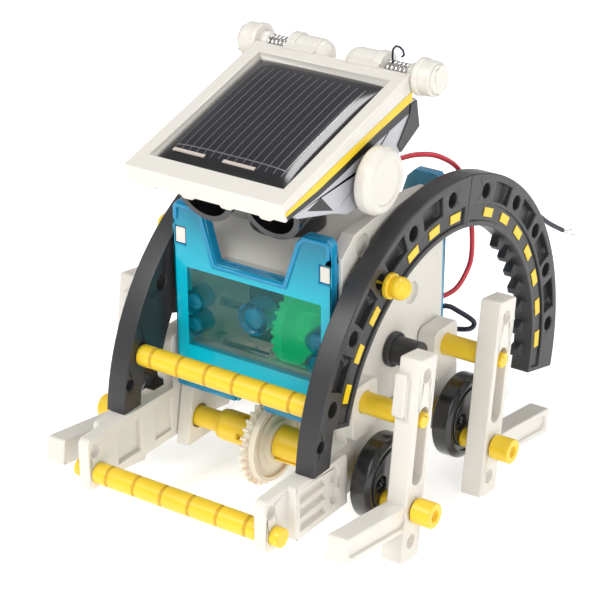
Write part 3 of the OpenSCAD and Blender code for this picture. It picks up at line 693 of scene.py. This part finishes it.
slab = add_object("resin_slab", crowned_slab("resin_slab", PANEL_WIDE, PANEL_LONG), CELL.material)
smooth_shade(slab, 60)
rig.ride(slab, "head")
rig.replaces(slab, "solar_panel")
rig.slot(slab, "cell")
print("resin slab faces:", len(slab.data.polygons))

# %% [markdown]
# ## Rows of small bars
# Contact tabs, ribs and slats are all rows of one small bar. A Geometry Nodes tree makes such a row
# from named inputs: how many, how far apart, how big, and how the bar is turned. Its result is baked to
# a plain mesh.

# %% A row of bars
def tree_with(name, inputs):
    tree = bpy.data.node_groups.new(name, "GeometryNodeTree")
    for label, kind in inputs:
        tree.interface.new_socket(label, in_out="INPUT", socket_type=kind)
    tree.interface.new_socket("Geometry", in_out="OUTPUT", socket_type="NodeSocketGeometry")
    return tree, tree.nodes.new("NodeGroupInput"), tree.nodes.new("NodeGroupOutput")


def finish_tree(tree, ins, out, geometry):
    real = tree.nodes.new("GeometryNodeRealizeInstances")
    dress = tree.nodes.new("GeometryNodeSetMaterial")
    tree.links.new(geometry, real.inputs[0])
    tree.links.new(real.outputs[0], dress.inputs["Geometry"])
    tree.links.new(ins.outputs["Finish"], dress.inputs["Material"])
    tree.links.new(dress.outputs[0], out.inputs[0])


def bar_row_tree():
    tree, ins, out = tree_with("row of bars", [
        ("Count", "NodeSocketInt"), ("First", "NodeSocketVector"), ("Step", "NodeSocketVector"),
        ("Size", "NodeSocketVector"), ("Turn", "NodeSocketRotation"), ("Finish", "NodeSocketMaterial")])
    line = tree.nodes.new("GeometryNodeMeshLine")
    bar = tree.nodes.new("GeometryNodeMeshCube")
    copies = tree.nodes.new("GeometryNodeInstanceOnPoints")
    for a, b in ((ins.outputs["Count"], line.inputs["Count"]),
                 (ins.outputs["First"], line.inputs["Start Location"]),
                 (ins.outputs["Step"], line.inputs["Offset"]), (ins.outputs["Size"], bar.inputs["Size"]),
                 (line.outputs[0], copies.inputs["Points"]), (bar.outputs[0], copies.inputs["Instance"]),
                 (ins.outputs["Turn"], copies.inputs["Rotation"])):
        tree.links.new(a, b)
    finish_tree(tree, ins, out, copies.outputs[0])
    return tree


def grown(name, tree, body, slot, **values):
    obj = add_object(name, bpy.data.meshes.new(name))
    grow = obj.modifiers.new("grow", "NODES")
    grow.node_group = tree
    ids = {s.name: s.identifier for s in tree.interface.items_tree if s.in_out == "INPUT"}
    for label, value in values.items():
        grow[ids[label.replace("_", " ")]] = value
    baked(obj)
    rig.ride(obj, body)
    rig.slot(obj, slot)
    print(name, "faces:", len(obj.data.polygons))
    return obj


def soften(obj, edge):
    bevel = obj.modifiers.new("edge", "BEVEL")
    bevel.width = edge * MM
    bevel.segments = 2
    return smooth_shade(baked(obj))


BARS = bar_row_tree()
TILTED = (HEAD_TILT, 0.0, 0.0)
TAB_BACK, TAB_SIDE = -17.2, 0.4
tab_out = slab_height(TAB_SIDE, 2 * TAB_BACK / PANEL_LONG)
grown("contact_tabs", BARS, "head", "steel", Count=2, First=on_head(-9.5, TAB_BACK, tab_out),
      Step=on_head(13.0, 0, 0) - on_head(0, 0, 0), Size=Vector((8.2, 0.9, 0.3)) * MM, Turn=TILTED,
      Finish=TINNED)

# %% [markdown]
# ## Lip under the head frame
# The frame's front edge has a row of small rounded feet below it, where the mould's runners were. Each
# is one bar of a row, softened so far that it reads as a scallop.

# %% Scallops
scallops = grown("frame_scallops", BARS, "head", "white", Count=4, First=on_head(-15.0, -25.0, -3.7),
                 Step=on_head(10.0, 0, 0) - on_head(0, 0, 0), Size=Vector((3.4, 1.9, 1.7)) * MM, Turn=TILTED,
                 Finish=IVORY)
soften(scallops, 0.75)

# %% [markdown]
# ## Terminal springs
# Each terminal has a small coil spring on its screw. A Spiral curve gives the coil its rule: turns,
# radius and height; a round section is swept along it.

# %% Coil springs
def spring_tree():
    tree, ins, out = tree_with("coil spring", [
        ("Turns", "NodeSocketFloat"), ("Radius", "NodeSocketFloat"), ("Height", "NodeSocketFloat"),
        ("Wire", "NodeSocketFloat"), ("Place", "NodeSocketVector"), ("Turn", "NodeSocketRotation"),
        ("Finish", "NodeSocketMaterial")])
    coil = tree.nodes.new("GeometryNodeCurveSpiral")
    coil.inputs["Resolution"].default_value = 24
    ring = tree.nodes.new("GeometryNodeCurvePrimitiveCircle")
    ring.inputs["Resolution"].default_value = 8
    tube = tree.nodes.new("GeometryNodeCurveToMesh")
    tube.inputs["Fill Caps"].default_value = True
    moved = tree.nodes.new("GeometryNodeTransform")
    for a, b in ((ins.outputs["Turns"], coil.inputs["Rotations"]),
                 (ins.outputs["Radius"], coil.inputs["Start Radius"]),
                 (ins.outputs["Radius"], coil.inputs["End Radius"]),
                 (ins.outputs["Height"], coil.inputs["Height"]), (ins.outputs["Wire"], ring.inputs["Radius"]),
                 (coil.outputs[0], tube.inputs["Curve"]), (ring.outputs[0], tube.inputs["Profile Curve"]),
                 (tube.outputs[0], moved.inputs["Geometry"]),
                 (ins.outputs["Place"], moved.inputs["Translation"]),
                 (ins.outputs["Turn"], moved.inputs["Rotation"])):
        tree.links.new(a, b)
    finish_tree(tree, ins, out, moved.outputs[0])
    return tree


SPRINGS = spring_tree()
TERMINAL_BACK, TERMINAL_OUT = 27.5, -1.3
SPRING_START = 12.9
for side, sign in (("left", -1), ("right", 1)):
    coil = grown("terminal_spring_" + side, SPRINGS, "head", "steel", Turns=7.0, Radius=1.9 * MM,
                 Height=7.6 * MM, Wire=0.32 * MM, Place=on_head(sign * SPRING_START, TERMINAL_BACK, TERMINAL_OUT),
                 Turn=(0.0, sign * math.pi / 2, 0.0), Finish=STEEL)
    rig.replaces(coil, "terminal_springs")
    smooth_shade(coil, 60)

# %% [markdown]
# ## Films on the head
# The sides of the head carry plain coloured films: a yellow stripe, a black one below it, and dark
# panels. Each film is a flat outline drawn on the head's side and given a paper's thickness.

# %% Side films
def film(name, outline, x, thick, material, body, slot, where=on_head):
    bm = bmesh.new()
    near = [bm.verts.new(where(x, a, b)) for a, b in outline]
    far = [bm.verts.new(where(x + thick, a, b)) for a, b in outline]
    bm.faces.new(near)
    bm.faces.new(far)
    for i in range(len(near)):
        j = (i + 1) % len(near)
        bm.faces.new((near[i], near[j], far[j], far[i]))
    bmesh.ops.recalc_face_normals(bm, faces=bm.faces)
    mesh = bpy.data.meshes.new(name)
    bm.to_mesh(mesh)
    bm.free()
    obj = add_object(name, mesh, material)
    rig.ride(obj, body)
    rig.slot(obj, slot)
    return obj


SHELL_SIDE = 20.52
FILMS = {
    "black_stripe": (STICKER_BLACK, 0.1, [(-25.5, -2.15), (-14, -3.4), (-5, -3.8), (9, -4.2), (22.7, -5.2),
                                          (21.9, -7.3), (8.2, -6.3), (-0.1, -5.6), (-5.6, -5.4), (-14.5, -4.8),
                                          (-25.3, -3.2)]),
    "dark_corner": (STICKER_BLACK, 0.06, [(-18.6, -5.6), (-13.4, -5.8), (-10.4, -11.2)]),
    "dark_back": (CHARCOAL, 0.3, [(22.6, -5.6), (24.9, -5.9), (24.3, -12.4), (16.2, -14.0), (15.4, -11.8),
                                  (21.3, -7.8)]),
}
for name, (material, thick, outline) in FILMS.items():
    for side, sign in (("left", -1), ("right", 1)):
        film(name + "_" + side, outline, sign * SHELL_SIDE, sign * thick, material, "head", "sticker")
    print(name, "corners:", len(outline))

# %% [markdown]
# ## Painted shade behind the gears
# The inside of the housing is in shade, so the gear window looks dark. That shade is painted as one
# thin dark sheet standing on the motor's mount.

# %% Painted shade sheet
def facing_front(y, x, z):
    return spot(x, y, z)


# A thin dark sheet where the housing is only in shade: painted shade.
SHADE_SHEET_HALF, SHADE_SHEET_LOW, SHADE_SHEET_HIGH, SHADE_SHEET_PLACE = 18, 28, 61, -12.15
shade_sheet = [(-SHADE_SHEET_HALF, SHADE_SHEET_LOW), (SHADE_SHEET_HALF, SHADE_SHEET_LOW), (SHADE_SHEET_HALF, SHADE_SHEET_HIGH),
          (-SHADE_SHEET_HALF, SHADE_SHEET_HIGH)]
film("gear_shade_sheet", shade_sheet, SHADE_SHEET_PLACE, 0.1, CHARCOAL, "chassis", "charcoal", where=facing_front)

# %% [markdown]
# ## Rims of the front cover
# The cover's upper edge has a raised rim, which follows the two towers and the notch between them. A
# lip runs along the foot. Each is a strip: the edge line, and the same line moved inwards.

# %% Rims
COVER_FRONT, COVER_HALF, COVER_LOW, TOWER_TOP, NOTCH = -36.0, 21.0, 25.5, 70.8, 58.2
RIM_FOOT, RIM_HEIGHT, LIP_HEIGHT = 66.5, 0.5, 0.9


def strip(points, outer, inner):
    sides = []
    for inset in (outer, inner):
        line = []
        for i, here in enumerate(points):
            before = Vector(here) - Vector(points[i - 1]) if i else Vector(points[1]) - Vector(here)
            after = Vector(points[i + 1]) - Vector(here) if i + 1 < len(points) else before
            n1 = Vector((before.y, -before.x)).normalized()
            n2 = Vector((after.y, -after.x)).normalized()
            line.append(Vector(here) + (n1 + n2) * (inset / (1 + n1.dot(n2))))
        sides.append([tuple(p) for p in line])
    return sides[0] + sides[1][::-1]


edge_line = [(-COVER_HALF, RIM_FOOT), (-COVER_HALF, TOWER_TOP - 1), (-COVER_HALF + 1, TOWER_TOP),
             (-14.5, TOWER_TOP), (-12.5, TOWER_TOP - 2), (-9.5, NOTCH), (8.5, NOTCH), (12, TOWER_TOP - 2),
             (14, TOWER_TOP), (COVER_HALF - 1, TOWER_TOP), (COVER_HALF, TOWER_TOP - 1),
             (COVER_HALF, RIM_FOOT)]
RIMS = {"cover_rim": strip(edge_line, 0.25, 1.25)}
for side, first, last in (("left", -20.6, -4.6), ("right", 3.4, 20.6)):
    lip = [(first + 0.5, 0.2), (first, 0.8), (first, 2), (last, 2), (last, 0.2)]
    RIMS["cover_lip_" + side] = [(x, COVER_LOW + rise) for x, rise in lip]
for name, outline in RIMS.items():
    height = LIP_HEIGHT if "lip" in name else RIM_HEIGHT
    raised = film(name, outline, COVER_FRONT + 0.05, -height, DEEP_AQUA, "chassis", "aqua",
                  where=facing_front)
    soften(raised, 0.15)
print("rims:", len(RIMS))

# %% [markdown]
# ## Turned parts and fine wire
# A screw runs through each terminal spring, a wire hook hangs on the right one, and the loose lead ends
# in bare strands. A turned part is a profile swung round its axis; a wire is a curve that is turned
# into a mesh.

# %% Screws, hook and strands
def turned_part(name, profile, middle, material, body, slot, where=on_head, segments=32):
    bm = bmesh.new()
    rings = []
    for x, radius in profile:
        angles = [2 * math.pi * k / segments for k in range(segments)] if radius else [0]
        places = [(middle[0] + radius * math.cos(a), middle[1] + radius * math.sin(a)) for a in angles]
        rings.append([bm.verts.new(where(x, *place)) for place in places])
    for a, b in zip(rings, rings[1:]):
        for k in range(segments):
            corners = [a[k % len(a)], a[(k + 1) % len(a)], b[(k + 1) % len(b)], b[k % len(b)]]
            bm.faces.new(list(dict.fromkeys(corners)))
    bmesh.ops.recalc_face_normals(bm, faces=bm.faces)
    mesh = bpy.data.meshes.new(name)
    bm.to_mesh(mesh)
    bm.free()
    obj = smooth_shade(add_object(name, mesh, material))
    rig.ride(obj, body)
    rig.slot(obj, slot)
    return obj


def fine_wire(name, route, width, material, body, slot):
    curve = lead(name + "_line", route, width, material)
    mesh = bpy.data.meshes.new_from_object(curve)
    bpy.data.objects.remove(curve)
    obj = smooth_shade(add_object(name, mesh), 60)
    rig.ride(obj, body)
    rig.slot(obj, slot)
    return obj


SCREW_START, SCREW_END, SCREW_RADIUS = 12.5, 20.8, 0.9
for side, sign in (("left", -1), ("right", 1)):
    start, end = sign * SCREW_START, sign * SCREW_END
    turned_part("terminal_screw_" + side, [(start, 0), (start, SCREW_RADIUS), (end, SCREW_RADIUS), (end, 0)],
                (TERMINAL_BACK, TERMINAL_OUT), STEEL, "head", "steel")

HOOK_ROUTE = [(14.0, 0.6), (14.2, 2.6), (14.6, 4.2), (15.4, 5.2), (16.4, 5.3), (17.2, 4.5), (17.3, 3.4),
              (16.7, 2.8)]
fine_wire("terminal_hook", [on_head(x, TERMINAL_BACK, out) for x, out in HOOK_ROUTE], 0.5 * MM, DARK_WIRE,
          "head", "dark_wire")

tip = Vector(LOOSE_ROUTE[-1])
STRAND_ENDS = [(0.5, 4.2, -1.2), (1.3, 4.2, -2.4), (-0.4, 4.2, -3.2)]
for k, end in enumerate(STRAND_ENDS):
    bend = Vector((end[0] * 0.4, 2.0, end[2] * 0.7))
    strand = [spot(*tip), spot(*(tip + bend)), spot(*(tip + Vector(end)))]
    fine_wire("strand_" + str(k + 1), strand, 0.3 * MM, STEEL, "chassis", "steel")
print("fine parts done")

# %% [markdown]
# ## Printed bands of the arches
# A glossy black band lies in the groove of each arch, with the yellow dashes on it. It is a ring
# sector, so its corners come from the arch's own centre and angles.

# %% Bands
ARCH_Z, GROOVE_FLOOR = 19.25, 27.7


def ring_outline(r0, r1, a0, a1, steps=48):
    angles = [math.radians(a0 + (a1 - a0) * i / steps) for i in range(steps + 1)]
    outer = [(r1 * math.cos(a), ARCH_Z + r1 * math.sin(a)) for a in angles]
    inner = [(r0 * math.cos(a), ARCH_Z + r0 * math.sin(a)) for a in reversed(angles)]
    return outer + inner


for side, sign in (("left", -1), ("right", 1)):
    for part, a0, a1 in (("rear", -12.5, 77.3), ("front", 80.9, 120.0), ("low", 124.8, 162.0)):
        film("arch_band_" + part + "_" + side, ring_outline(42.9, 46.1, a0, a1), sign * GROOVE_FLOOR,
             sign * 0.012, STICKER_BLACK, "chassis", "sticker", where=spot)
print("bands done")

# %% [markdown]
# ## Size
# The box of the imported parts and the box of the finished pieces are both written to extents.json.

# %% Sizes
json.dump({"cad": cad_box, "visual": [list(corner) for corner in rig.bounds()]}, open("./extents.json", "w"))
print(open("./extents.json").read())
